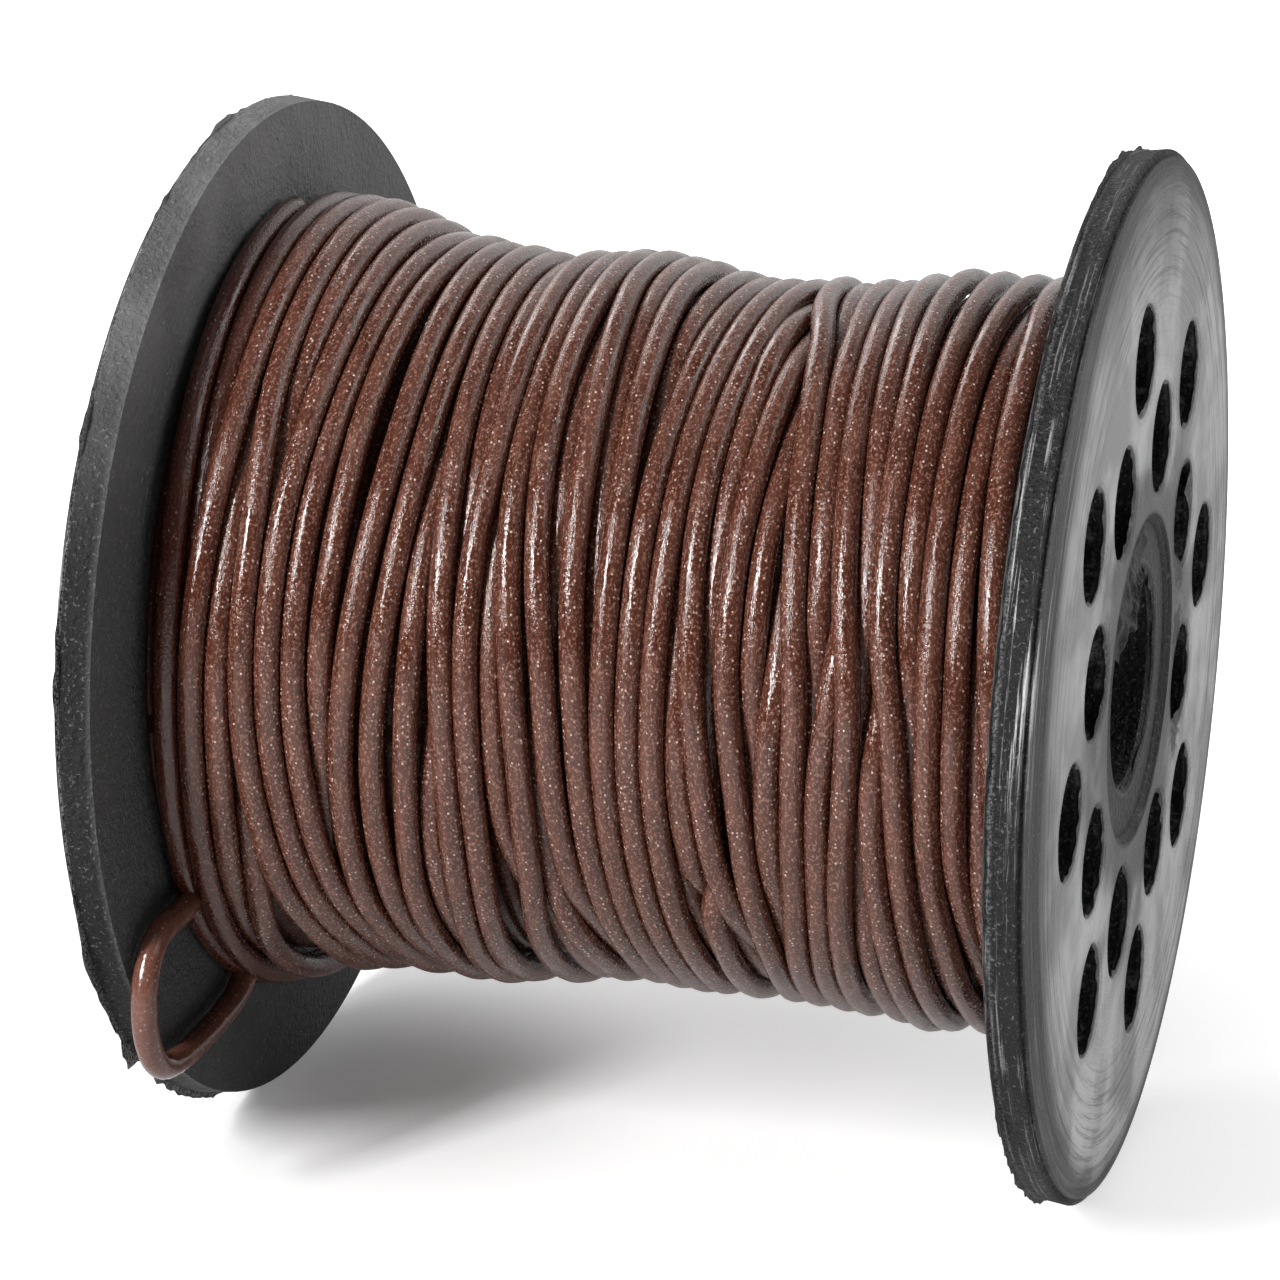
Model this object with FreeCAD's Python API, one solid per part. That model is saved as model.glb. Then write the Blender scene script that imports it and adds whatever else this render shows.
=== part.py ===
# A reel of waxed round cord: two moulded flanges, a ribbed barrel between them, and the cord wound on it.
# The reel lies on its flange rims. X is the spindle axis, Z is up, and the origin is the middle of the spindle bore.
import FreeCAD, Part
import math
import os
from FreeCAD import Vector

# Overall sizes of the reel (mm)
FLANGE_DIAMETER = 80.0
REEL_WIDTH = 72.0
FLANGE_THICKNESS = 3.2

# The rim of a flange: a nearly straight land, the small step of the mould's parting line, then a low shoulder
LAND_WIDTH = 2.35
LAND_DRAFT = 0.3
STEP_WIDTH = 0.15
STEP_HEIGHT = 0.55
SHOULDER_WIDTH = 3.4
SHOULDER_DROP = 0.3

# The round pockets that lighten each flange, in two staggered rings round the hub
POCKET_DIAMETER = 8.8
POCKET_DEPTH = 1.9
POCKETS_PER_RING = 8
OUTER_RING_RADIUS = 25.6
INNER_RING_RADIUS = 18.5
PATTERN_TURN = 5.5
POCKET_EDGE = 0.25

# The barrel: an outer wall for the cord, a hub tube for the spindle, and ribs between them
BARREL_DIAMETER = 42.0
BARREL_WALL = 1.8
HUB_DIAMETER = 24.0
SPINDLE_BORE = 16.5
HUB_RECESS = 0.6
HUB_CHAMFER = 0.5
SOCKET_CHAMFER = 0.7
RIB_COUNT = 6
RIB_THICKNESS = 1.4
RIB_SETBACK = 3.0

# The cord and its winding
CORD_DIAMETER = 2.0
WAIST_RADIUS = 27.7
WAIST_X = 6.0
LEFT_FLARE_RADIUS = 209.0
RIGHT_FLARE_RADIUS = 240.0
TURN_COUNT = 24
FIRST_TURN_GAP = 3.4
LAST_TURN_GAP = 0.2
WINDING_CLEARANCE = 0.05
DIVE_RADIUS = 2.2
DIVE_CLEARANCE = 0.15
START_ANGLE = 20.0
LEAST_GAP = 0.4

# The loop of cord that stands out of the winding, in the gap beside the left flange
TAIL_GAP = 0.4
TAIL_FOOT_DEPTH = 1.5
TAIL_START_ANGLE = -148.0
TAIL_END_ANGLE = -120.0
TAIL_START_HEIGHT = 2.1
TAIL_END_HEIGHT = 2.1
TAIL_POINTS = [
    (-32.6, -16.0),
    (-35.3, -19.5),
    (-35.2, -23.6),
    (-33.2, -26.9),
    (-29.5, -27.9),
    (-22.5, -27.9),
]

CORD_RADIUS = CORD_DIAMETER / 2
FLANGE_RADIUS = FLANGE_DIAMETER / 2
FACE_X = REEL_WIDTH / 2
INNER_X = FACE_X - FLANGE_THICKNESS
AXIS = Vector(1, 0, 0)
CENTRE = Vector(0, 0, 0)


def revolve(outline):
    """A solid of revolution round the spindle axis from (x, radius) points and arcs, in order."""
    edges = []
    last = None
    for item in outline:
        points = [Vector(x, 0, r) for x, r in item] if isinstance(item[0], tuple) else [Vector(item[0], 0, item[1])]
        if last is not None and (points[0] - last).Length > 1e-7:
            edges.append(Part.LineSegment(last, points[0]).toShape())
        if len(points) == 3:
            edges.append(Part.Arc(*points).toShape())
        last = points[-1]
    first = edges[0].Vertexes[0].Point
    edges.append(Part.LineSegment(last, first).toShape())
    return Part.Face(Part.Wire(edges)).revolve(CENTRE, AXIS, 360)


def ring(x, inner_radius, outer_radius, length):
    """A plain tube along the axis, from x for the given length."""
    outside = Part.makeCylinder(outer_radius, length, Vector(x, 0, 0), AXIS)
    return outside.cut(Part.makeCylinder(inner_radius, length, Vector(x, 0, 0), AXIS))


def make_flange():
    """The right flange, with its outer face towards +X. The left one is the same moulding turned round."""
    land_x = INNER_X + LAND_WIDTH
    crown_radius = FLANGE_RADIUS - STEP_HEIGHT
    crown_x = FACE_X - SHOULDER_DROP
    face_radius = crown_radius - SHOULDER_WIDTH
    outline = [
        (INNER_X, HUB_DIAMETER / 2),
        (INNER_X, FLANGE_RADIUS - LAND_DRAFT),
        (land_x, FLANGE_RADIUS),
        (land_x + STEP_WIDTH, crown_radius),
        (crown_x, crown_radius),
        (FACE_X, face_radius),
        (FACE_X, HUB_DIAMETER / 2 + SOCKET_CHAMFER),
        (FACE_X - SOCKET_CHAMFER, HUB_DIAMETER / 2),
    ]
    flange = revolve(outline)
    pockets = []
    for ring_radius, turn in (
        (OUTER_RING_RADIUS, PATTERN_TURN),
        (INNER_RING_RADIUS, PATTERN_TURN + 180.0 / POCKETS_PER_RING),
    ):
        for number in range(POCKETS_PER_RING):
            angle = math.radians(turn + 360.0 * number / POCKETS_PER_RING)
            foot = Vector(FACE_X - POCKET_DEPTH, ring_radius * math.cos(angle), ring_radius * math.sin(angle))
            pockets.append(Part.makeCylinder(POCKET_DIAMETER / 2, POCKET_DEPTH, foot, AXIS))
            mouth = Vector(FACE_X - POCKET_EDGE, foot.y, foot.z)
            pockets.append(
                Part.makeCone(POCKET_DIAMETER / 2, POCKET_DIAMETER / 2 + POCKET_EDGE, POCKET_EDGE, mouth, AXIS)
            )
    return flange.cut(pockets)


def make_barrel():
    """The outer wall butts on both flanges. The hub tube runs on through their sockets, short of the faces."""
    outer_wall = ring(-INNER_X, BARREL_DIAMETER / 2 - BARREL_WALL, BARREL_DIAMETER / 2, 2 * INNER_X)
    hub_end = FACE_X - HUB_RECESS
    hub = revolve([
        (-hub_end, SPINDLE_BORE / 2 + HUB_CHAMFER),
        (-hub_end, HUB_DIAMETER / 2),
        (hub_end, HUB_DIAMETER / 2),
        (hub_end, SPINDLE_BORE / 2 + HUB_CHAMFER),
        (hub_end - HUB_CHAMFER, SPINDLE_BORE / 2),
        (HUB_CHAMFER - hub_end, SPINDLE_BORE / 2),
    ])
    rib_length = 2 * (INNER_X - RIB_SETBACK)
    rib_foot = (HUB_DIAMETER / 2 + SPINDLE_BORE / 2) / 2
    rib_height = BARREL_DIAMETER / 2 - BARREL_WALL / 2 - rib_foot
    ribs = []
    for number in range(RIB_COUNT):
        rib = Part.makeBox(rib_length, RIB_THICKNESS, rib_height, Vector(-rib_length / 2, -RIB_THICKNESS / 2, rib_foot))
        rib.rotate(CENTRE, AXIS, 360.0 * number / RIB_COUNT)
        ribs.append(rib)
    return outer_wall.fuse([hub] + ribs).removeSplitter()


def winding_radius(x):
    """Outer radius of the wound cord: a waist, and an arc that flares to each flange."""
    flare = LEFT_FLARE_RADIUS if x < WAIST_X else RIGHT_FLARE_RADIUS
    return WAIST_RADIUS + flare - math.sqrt(flare**2 - (x - WAIST_X) ** 2)


def core_radius(x):
    """The packed layers end one cord diameter below the outside of the winding."""
    return winding_radius(x) - CORD_DIAMETER - WINDING_CLEARANCE


def at_angle(x, radius, degrees):
    """A point at a place along the axis, a radius, and an angle from +Y towards +Z."""
    angle = math.radians(degrees)
    return Vector(x, radius * math.cos(angle), radius * math.sin(angle))


def outward(degrees):
    return at_angle(0, 1, degrees)


def sideways(degrees):
    """The direction that a turn runs in at an angle."""
    return at_angle(0, 1, degrees + 90)


def cord_section(start, direction):
    return Part.Wire(Part.makeCircle(CORD_RADIUS, start, direction))


def sweep(edges, start, direction):
    """One unbroken round tube along a wire of straight runs and arcs."""
    pipe = Part.BRepOffsetAPI.MakePipeShell(Part.Wire(edges))
    pipe.add(cord_section(start, direction))
    pipe.build()
    pipe.makeSolid()
    return pipe.shape()


def arc_from_tangent(start, tangent, end, reach):
    """An arc from start along tangent to end, whose tangents cross at reach from each."""
    middle = (start + end) * 0.5
    half = (middle - start).Length
    towards = start + tangent * reach - middle
    if towards.Length < 1e-9:
        return Part.LineSegment(start, end)
    rise = half * math.tan(math.acos(half / reach) / 2)
    return Part.Arc(start, middle + towards.normalize() * rise, end)


def biarc(start, start_tangent, end, end_tangent):
    """Two tangent arcs that join two points with the given directions."""
    gap = end - start
    both = gap.dot(start_tangent + end_tangent)
    bend = 2 * (1 - start_tangent.dot(end_tangent))
    reach = (math.sqrt(both**2 + bend * gap.dot(gap)) - both) / bend
    meeting = (start + end + (start_tangent - end_tangent) * reach) * 0.5
    first = arc_from_tangent(start, start_tangent, meeting, reach)
    second_back = arc_from_tangent(end, end_tangent * -1, meeting, reach)
    second = Part.Arc(meeting, second_back.value((second_back.FirstParameter + second_back.LastParameter) / 2), end)
    return [first, second]


def turns_route():
    """Quarter-turn points of the outer layer, each with its direction."""
    first_x = -INNER_X + FIRST_TURN_GAP + CORD_RADIUS
    last_x = INNER_X - LAST_TURN_GAP - CORD_RADIUS
    steps = 4 * TURN_COUNT
    route = []
    for step in range(steps + 1):
        x = first_x + (last_x - first_x) * step / steps
        degrees = START_ANGLE + 90.0 * step
        pitch_per_radian = (last_x - first_x) / TURN_COUNT / (2 * math.pi)
        radius = winding_radius(x) - CORD_RADIUS
        direction = sideways(degrees) * radius + AXIS * pitch_per_radian
        route.append((at_angle(x, radius, degrees), direction.normalize(), degrees))
    return route


def dive(point, direction, degrees, sense):
    """How an end of the winding goes down: a bend into the packed layers, then one straight diameter.
    Gives the bend's corner points, and the box that makes room for it in the core."""
    out = outward(degrees)
    centre = point - out * DIVE_RADIUS
    along = direction * sense
    low = centre + along * DIVE_RADIUS
    mid = centre + (along + out).normalize() * DIVE_RADIUS
    foot = low - out * CORD_DIAMETER
    room = CORD_RADIUS + DIVE_CLEARANCE
    box = Part.makeBox(2 * room, DIVE_RADIUS + room, CORD_DIAMETER + DIVE_RADIUS + CORD_RADIUS)
    across = along.cross(out)
    placed = FreeCAD.Matrix(
        across.x, along.x, out.x, 0,
        across.y, along.y, out.y, 0,
        across.z, along.z, out.z, 0,
        0, 0, 0, 1,
    )
    corner = point - across * room - out * (DIVE_RADIUS + CORD_DIAMETER)
    box = box.transformGeometry(placed)
    box.translate(corner)
    return mid, low, foot, box


def make_turns():
    """The outer layer as one tube, and the two pockets that its ends need in the core."""
    route = turns_route()
    edges = []
    point, direction, degrees = route[0]
    mid, low, foot, start_box = dive(point, direction, degrees, -1)
    start = foot
    edges.append(Part.LineSegment(foot, low))
    edges.append(Part.Arc(low, mid, point))
    for here, there in zip(route, route[1:]):
        edges.extend(biarc(here[0], here[1], there[0], there[1]))
    point, direction, degrees = route[-1]
    mid, low, foot, end_box = dive(point, direction, degrees, 1)
    edges.append(Part.Arc(point, mid, low))
    edges.append(Part.LineSegment(low, foot))
    tube = sweep([edge.toShape() for edge in edges], start, outward(route[0][2]))
    return tube, [start_box, end_box], edges


def tail_route():
    """Corner points of the loop, from a foot in the core to a foot in the core."""
    x = -INNER_X + TAIL_GAP + CORD_RADIUS
    surface = core_radius(x)
    start = at_angle(x, surface - TAIL_FOOT_DEPTH, TAIL_START_ANGLE)
    rise = at_angle(x, surface + TAIL_START_HEIGHT, TAIL_START_ANGLE)
    fall = at_angle(x, surface + TAIL_END_HEIGHT, TAIL_END_ANGLE)
    end = at_angle(x, surface - TAIL_FOOT_DEPTH, TAIL_END_ANGLE)
    return [start, rise] + [Vector(x, y, z) for y, z in TAIL_POINTS] + [fall, end]


def make_tail():
    """The loop's tube, and the round sockets of its two feet."""
    points = tail_route()
    edges = []
    last = points[0]
    radii = []
    for before, corner, after in zip(points, points[1:], points[2:]):
        back = (before - corner).normalize()
        on = (after - corner).normalize()
        half_turn = (math.pi - back.getAngle(on)) / 2
        reach = 0.45 * min((before - corner).Length, (after - corner).Length)
        radius = reach / math.tan(half_turn)
        radii.append(radius)
        enter = corner + back * reach
        leave = corner + on * reach
        bisector = (back + on).normalize()
        middle = corner + bisector * (radius / math.cos(half_turn) - radius)
        edges.append(Part.LineSegment(last, enter))
        edges.append(Part.Arc(enter, middle, leave))
        last = leave
    edges.append(Part.LineSegment(last, points[-1]))
    length = sum(edge.length() for edge in edges)
    shapes = [edge.toShape() for edge in edges]
    tube = sweep(shapes, points[0], outward(TAIL_START_ANGLE))
    print("tail loop: radii", [round(radius, 2) for radius in radii], "length", round(length, 2))
    print("tail loop: volume", round(tube.Volume, 2), "section x length", round(math.pi * CORD_RADIUS**2 * length, 2))
    sockets = []
    for foot, degrees in ((points[0], TAIL_START_ANGLE), (points[-1], TAIL_END_ANGLE)):
        depth = TAIL_FOOT_DEPTH + CORD_DIAMETER
        sockets.append(Part.makeCylinder(CORD_RADIUS + WINDING_CLEARANCE, depth, foot, outward(degrees)))
    return tube, sockets


def make_core(rooms):
    """The packed inner layers of cord, plain, from the barrel to just under the outer turns."""
    def arc(from_x, to_x):
        return [(x, core_radius(x)) for x in (from_x, (from_x + to_x) / 2, to_x)]

    core = revolve([
        (-INNER_X, BARREL_DIAMETER / 2),
        arc(-INNER_X, WAIST_X),
        arc(WAIST_X, INNER_X),
        (INNER_X, BARREL_DIAMETER / 2),
    ])
    return core.cut(rooms)


def least_gap(edges):
    """Least clear distance between turns of the outer layer, measured on points along its centre line."""
    rows = []
    per_edge = 6
    for edge in edges[2:-2]:
        first, last = edge.FirstParameter, edge.LastParameter
        rows.extend(edge.value(first + (last - first) * k / per_edge) for k in range(per_edge))
    per_turn = len(rows) // TURN_COUNT
    least = min(
        (rows[i] - rows[j]).Length
        for i in range(len(rows))
        for j in range(i + per_turn // 2, min(len(rows), i + per_turn + per_turn // 2))
    )
    return least - CORD_DIAMETER


def build():
    right_flange = make_flange()
    left_flange = right_flange.copy()
    left_flange.rotate(CENTRE, Vector(0, 0, 1), 180)
    turns, dive_boxes, turn_edges = make_turns()
    tail, sockets = make_tail()
    gap = least_gap(turn_edges)
    print("outer turns:", TURN_COUNT, "least gap", round(gap, 3), "wanted over", LEAST_GAP)
    turn_length = sum(edge.length() for edge in turn_edges)
    print("outer turns: length", round(turn_length, 1), "volume", round(turns.Volume, 1),
          "section x length", round(math.pi * CORD_RADIUS**2 * turn_length, 1))
    return {
        "left_flange": left_flange,
        "right_flange": right_flange,
        "barrel": make_barrel(),
        "winding_core": make_core(dive_boxes + sockets),
        "outer_turns": turns,
        "tail_loop": tail,
    }


os.makedirs("parts", exist_ok=True)
for name, shape in build().items():
    shape.exportStep("parts/" + name + ".step")
    box = shape.BoundBox
    print(name, "solids", len(shape.Solids), "valid", shape.isValid(), "volume", round(shape.Volume, 1),
          "x %.2f %.2f y %.2f %.2f z %.2f %.2f" % (box.XMin, box.XMax, box.YMin, box.YMax, box.ZMin, box.ZMax))
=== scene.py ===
# %% [markdown]
# # A reel of waxed cord
# A black moulded reel lies on the rims of its two flanges. About 45 turns of round waxed cord show on
# it, crossing and riding over each other, and one loop of the cord stands out beside the left flange.
# The CAD model comes in first as a fixed frame: X is the spindle axis, Z is up, and the floor is 40 mm
# below the axis. Blender works in metres there. The cord and the torn plastic are worked out in
# millimetres, and only their finished points are turned into metres.

# %% Load the CAD frame
import bpy
import math
import numpy as np
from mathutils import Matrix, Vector


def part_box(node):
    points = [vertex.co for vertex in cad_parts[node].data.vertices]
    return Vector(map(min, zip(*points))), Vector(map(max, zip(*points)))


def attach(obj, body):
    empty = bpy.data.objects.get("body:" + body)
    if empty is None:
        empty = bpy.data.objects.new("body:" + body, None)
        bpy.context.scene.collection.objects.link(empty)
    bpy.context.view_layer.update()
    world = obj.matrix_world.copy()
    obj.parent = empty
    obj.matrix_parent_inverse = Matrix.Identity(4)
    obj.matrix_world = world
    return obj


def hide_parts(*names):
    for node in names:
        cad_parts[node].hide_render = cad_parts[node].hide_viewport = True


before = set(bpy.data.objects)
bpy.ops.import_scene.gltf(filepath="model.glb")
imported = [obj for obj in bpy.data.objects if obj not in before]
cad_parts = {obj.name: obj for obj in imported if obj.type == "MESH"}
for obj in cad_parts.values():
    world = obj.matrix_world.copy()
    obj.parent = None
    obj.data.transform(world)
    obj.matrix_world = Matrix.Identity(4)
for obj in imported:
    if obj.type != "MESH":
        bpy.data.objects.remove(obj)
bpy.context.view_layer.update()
MM = 0.001
FLOOR_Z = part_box("left_flange")[0].z
chance = np.random.default_rng(7)
print("CAD nodes:", sorted(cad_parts))
print("floor at", round(FLOOR_Z / MM, 2), "mm")

# %% [markdown]
# ## The camera
# A long lens some way off keeps the two flanges almost the same size. The camera stands to the right
# of the reel and above it, so that the right flange shows its outer face and the left one its inner
# face. A camera can be aimed with a constraint, but turning it once to face back along its own line
# leaves nothing that could move later.

# %% Camera
AZIMUTH, ELEVATION = math.radians(17.14), math.radians(18.24)
BACK = Vector((
    math.sin(AZIMUTH) * math.cos(ELEVATION),
    -math.cos(AZIMUTH) * math.cos(ELEVATION),
    math.sin(ELEVATION),
))
AIM = Vector((-3.7, 0.0, -0.7)) * MM
CAMERA_DISTANCE = 340
camera = bpy.data.objects.new("camera", bpy.data.cameras.new("camera"))
camera.data.sensor_width = 36.0
camera.data.lens = 121.95
camera.location = AIM + BACK * CAMERA_DISTANCE * MM
camera.rotation_mode = "QUATERNION"
camera.rotation_quaternion = (-BACK).to_track_quat("-Z", "Y")
camera.data.clip_start = 0.01
bpy.context.scene.collection.objects.link(camera)
bpy.context.scene.camera = camera
bpy.context.scene.view_settings.view_transform = "Standard"
print("camera at", [round(c / MM) for c in camera.location], "mm")

# %% [markdown]
# ## The loose loop of cord
# Beside the left flange a bight of the cord has slipped out of the winding and hangs in front of it.
# It is one cord, so it is one curve. The control points are the corners of the CAD route. A Bezier
# curve would need handles at each of them, but a NURBS spline of order 3 rounds them off softly by
# itself, which is how a waxed cord bends. Order and end points are set after the points are added,
# because before that the spline doesn't keep them.

# %% Loop of cord
CORD_RADIUS = 1.0 * MM
LOOP_ROUTE = [
    (-0.0314, -0.02334, -0.01459),
    (-0.0314, -0.02639, -0.01649),
    (-0.0314, -0.0326, -0.016),
    (-0.0314, -0.0353, -0.0195),
    (-0.0314, -0.0352, -0.0236),
    (-0.0314, -0.0332, -0.0269),
    (-0.0314, -0.0295, -0.0279),
    (-0.0314, -0.0225, -0.0279),
    (-0.0314, -0.01556, -0.02695),
    (-0.0314, -0.01376, -0.02384),
]
loop_curve = bpy.data.curves.new("loose_loop", "CURVE")
loop_curve.dimensions = "3D"
loop_curve.bevel_depth = 1.0
loop_curve.bevel_resolution = 6
loop_curve.resolution_u = 24
loop_curve.use_fill_caps = True
spline = loop_curve.splines.new("NURBS")
spline.points.add(len(LOOP_ROUTE) - 1)
for point, corner in zip(spline.points, LOOP_ROUTE):
    point.co = (*corner, 1.0)
    point.radius = CORD_RADIUS
spline.order_u = 3
spline.use_endpoint_u = True
loose_loop = bpy.data.objects.new("loose_loop", loop_curve)
bpy.context.scene.collection.objects.link(loose_loop)
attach(loose_loop, "root")
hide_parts("tail_loop")
print("loop of cord through", len(LOOP_ROUTE), "points")

# %% [markdown]
# ## Where the turns lie
# The cord was wound with a guiding hand, so no two turns run quite alike: some ride on top, some dip
# under a neighbour and come up again. A plain helix can't show that. So each turn that shows from the
# front has a row here: its place along the spindle at eight angles from the top of the reel round its
# front to the underside, in millimetres, and how high it lies at each, from 0, buried one cord deep,
# to 9, on top.

# %% Table of turns
TURN_ANGLES = [90, 70, 50, 30, 10, -10, -30, -50]
TURNS = [
    ((-31.8, -31.5, -31.0, -30.7, -30.65, -30.9, -31.3, -31.6), "99998655"),
    ((-30.1, -29.45, -29.25, -29.3, -29.5, -30.0, -30.6, -31.2), "99973222"),
    ((-28.0, -27.65, -27.85, -28.15, -28.7, -29.0, -29.4, -30.4), "99999999"),
    ((-27.0, -26.7, -26.5, -26.7, -27.0, -27.2, -28.2, -29.7), "33599999"),
    ((-26.1, -25.75, -25.75, -25.25, -25.2, -25.0, -24.4, -22.8), "99999999"),
    ((-24.1, -23.85, -24.05, -24.3, -24.9, -25.7, -26.35, -27.5), "99943699"),
    ((-22.2, -22.25, -22.65, -23.2, -23.5, -23.2, -22.4, -20.9), "99999999"),
    ((-20.2, -20.5, -20.9, -21.55, -21.8, -21.15, -20.6, -19.15), "99999999"),
    ((-18.1, -18.45, -18.85, -19.15, -19.75, -20.0, -21.2, -22.2), "99999522"),
    ((-16.1, -16.0, -15.85, -16.5, -17.6, -18.3, -18.4, -17.6), "99999999"),
    ((-14.15, -13.85, -13.85, -14.25, -15.25, -15.9, -15.95, -15.1), "99999999"),
    ((-13.2, -12.9, -12.4, -12.45, -12.9, -13.3, -13.95, -13.9), "33599999"),
    ((-12.25, -11.9, -11.65, -11.1, -10.35, -9.95, -10.4, -11.25), "99999999"),
    ((-10.3, -10.0, -9.65, -9.8, -10.5, -11.45, -11.9, -12.3), "99954788"),
    ((-8.6, -8.2, -8.05, -8.4, -8.3, -8.15, -8.5, -9.25), "99999999"),
    ((-7.8, -7.7, -7.75, -7.55, -7.0, -6.45, -5.3, -3.2), "22488848"),
    ((-7.05, -6.9, -6.7, -6.05, -5.0, -4.25, -4.75, -5.45), "99999999"),
    ((-5.1, -5.15, -4.85, -3.85, -2.6, -2.05, -1.2, -0.15), "99999999"),
    ((-4.2, -3.45, -3.2, -2.6, -3.2, -3.4, -2.6, -1.6), "48843489"),
    ((-3.1, -2.4, -1.7, -1.2, -0.4, 0.45, 0.6, 1.7), "99999999"),
    ((-1.45, -0.8, -0.35, 0.4, 0.9, 1.2, 1.5, 2.4), "98533333"),
    ((0.5, 0.75, 1.3, 1.65, 2.05, 2.1, 2.4, 3.1), "99999999"),
    ((2.9, 2.7, 2.9, 2.7, 2.9, 2.9, 3.1, 3.8), "98433333"),
    ((5.0, 4.45, 4.0, 3.6, 3.65, 3.6, 3.75, 4.5), "99999999"),
    ((6.85, 6.3, 5.7, 5.35, 5.5, 5.55, 6.1, 6.7), "99999999"),
    ((5.9, 5.6, 5.2, 5.3, 5.9, 6.4, 7.25, 8.15), "33333489"),
    ((7.7, 7.1, 6.7, 6.3, 6.4, 7.05, 8.9, 11.0), "33588843"),
    ((8.65, 7.85, 7.3, 7.45, 8.1, 9.3, 10.05, 12.6), "99999993"),
    ((9.4, 9.75, 9.1, 9.0, 9.1, 9.1, 9.25, 9.0), "99953499"),
    ((12.2, 11.55, 11.35, 10.85, 11.1, 12.05, 12.45, 12.75), "59999999"),
    ((13.3, 13.1, 13.0, 12.55, 13.1, 13.3, 13.3, 13.0), "34788433"),
    ((11.5, 13.1, 14.4, 15.15, 15.9, 15.9, 15.3, 14.3), "99999999"),
    ((13.0, 14.0, 14.9, 14.8, 14.3, 14.2, 14.25, 13.45), "33488855"),
    ((14.5, 15.35, 16.35, 17.1, 17.4, 17.0, 16.2, 15.4), "99995333"),
    ((16.5, 17.2, 18.3, 19.25, 20.4, 20.05, 18.9, 18.35), "99999999"),
    ((17.6, 18.2, 18.9, 19.1, 18.45, 17.7, 17.1, 16.5), "33217999"),
    ((18.45, 19.1, 19.85, 20.7, 21.1, 20.8, 20.95, 21.2), "99984699"),
    ((20.85, 21.1, 21.5, 21.95, 23.1, 23.85, 24.2, 24.55), "99999999"),
    ((22.1, 22.2, 22.4, 22.3, 22.1, 22.15, 22.5, 22.8), "33337999"),
    ((23.35, 23.35, 23.4, 23.7, 24.75, 25.3, 25.6, 26.0), "99998433"),
    ((25.9, 25.45, 25.3, 25.5, 25.95, 26.15, 26.95, 27.5), "99999999"),
    ((27.1, 27.0, 27.2, 27.4, 28.0, 28.3, 29.3, 29.9), "55689999"),
    ((28.1, 28.9, 29.15, 29.75, 30.45, 31.3, 31.6, 31.8), "99998554"),
    ((29.6, 29.8, 29.9, 29.7, 29.4, 30.0, 30.6, 31.0), "33338999"),
    ((30.6, 31.0, 31.2, 31.4, 31.6, 31.7, 31.8, 31.8), "55555333"),
]
print(len(TURNS), "turns, each with", len(TURN_ANGLES), "places")

# %% [markdown]
# ## How high the winding stands
# The winding is waisted, lumpy, and highest beside the left flange. A formula would make it too even,
# so its radius is listed every four millimetres along the spindle, over the top and under the bottom,
# and anything between comes from straight interpolation. The angle counts from the front, up over the
# top.

# %% Radius of the winding
STATIONS = np.arange(-32, 33, 4)
OVER = np.array([
    33.0, 32.8, 31.9, 30.2, 29.95, 29.05, 29.6, 29.9, 29.7, 28.5, 28.3, 29.0, 28.8, 30.2, 30.0, 30.0, 30.2,
])
UNDER = np.array([
    31.1, 30.0, 28.9, 28.2, 28.3, 28.5, 28.2, 27.6, 26.8, 27.3, 27.3, 27.2, 27.4, 28.0, 28.3, 28.0, 27.6,
])


def winding_radius(x, angle):
    """Radius of the outside of the winding in mm, at x mm along the spindle and an angle in radians."""
    over, under = np.interp(x, STATIONS, OVER), np.interp(x, STATIONS, UNDER)
    return (over + under) / 2 + (over - under) / 2 * np.sin(angle)


print("radius at the waist:", round(float(winding_radius(6.0, 0.0)), 2), "mm")

# %% [markdown]
# ## One unbroken cord
# Each row of the table ends under the reel, and the cord goes on round the back to the top of the next
# row. Joined so, all the turns make one long line. A smooth cubic through the table's places gives the
# places between, so that the cord has no kinks. The heights run straight from one value to the next,
# and are then smoothed along the line, because a cubic would make the cord hop. At the back, where the
# table says nothing, the turns sway a little at random. Angles are in degrees from the top of each
# turn, over the front.

# %% Join the turns into one line
STEPS = 180
BACK_FROM, BACK_SOFT = 140, 40
SWAY = 0.35
OUTERMOST = 31.8
CORD_WIDTH = 2.0
LEVEL_ROUNDS = 50
AT_TURNING = 0.3
front_angles = np.array(TURN_ANGLES, float)
knots, places, heights = [], [], []
for number, (row, level) in enumerate(TURNS):
    knots.extend(360.0 * number + 90.0 - front_angles)
    places.extend(row)
    heights.extend(int(digit) for digit in level)
knots, places, heights = map(np.array, (knots, places, heights))


def smooth_through(at, xs, ys):
    """Values at places between the knots xs: cubic pieces, with a flatter slope where the values turn."""
    step = np.diff(xs)
    secant = np.diff(ys) / step
    slope = np.concatenate([[secant[0]], (secant[:-1] + secant[1:]) / 2, [secant[-1]]])
    turning = secant[:-1] * secant[1:] <= 0
    slope[1:-1][turning] *= AT_TURNING
    i = np.clip(np.searchsorted(xs, at) - 1, 0, len(xs) - 2)
    t = (at - xs[i]) / step[i]
    a, b = slope[i] * step[i], slope[i + 1] * step[i]
    return (
        ys[i] * (1 + 2 * t) * (1 - t) ** 2 + a * t * (1 - t) ** 2
        + ys[i + 1] * t * t * (3 - 2 * t) - b * t * t * (1 - t)
    )


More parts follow.
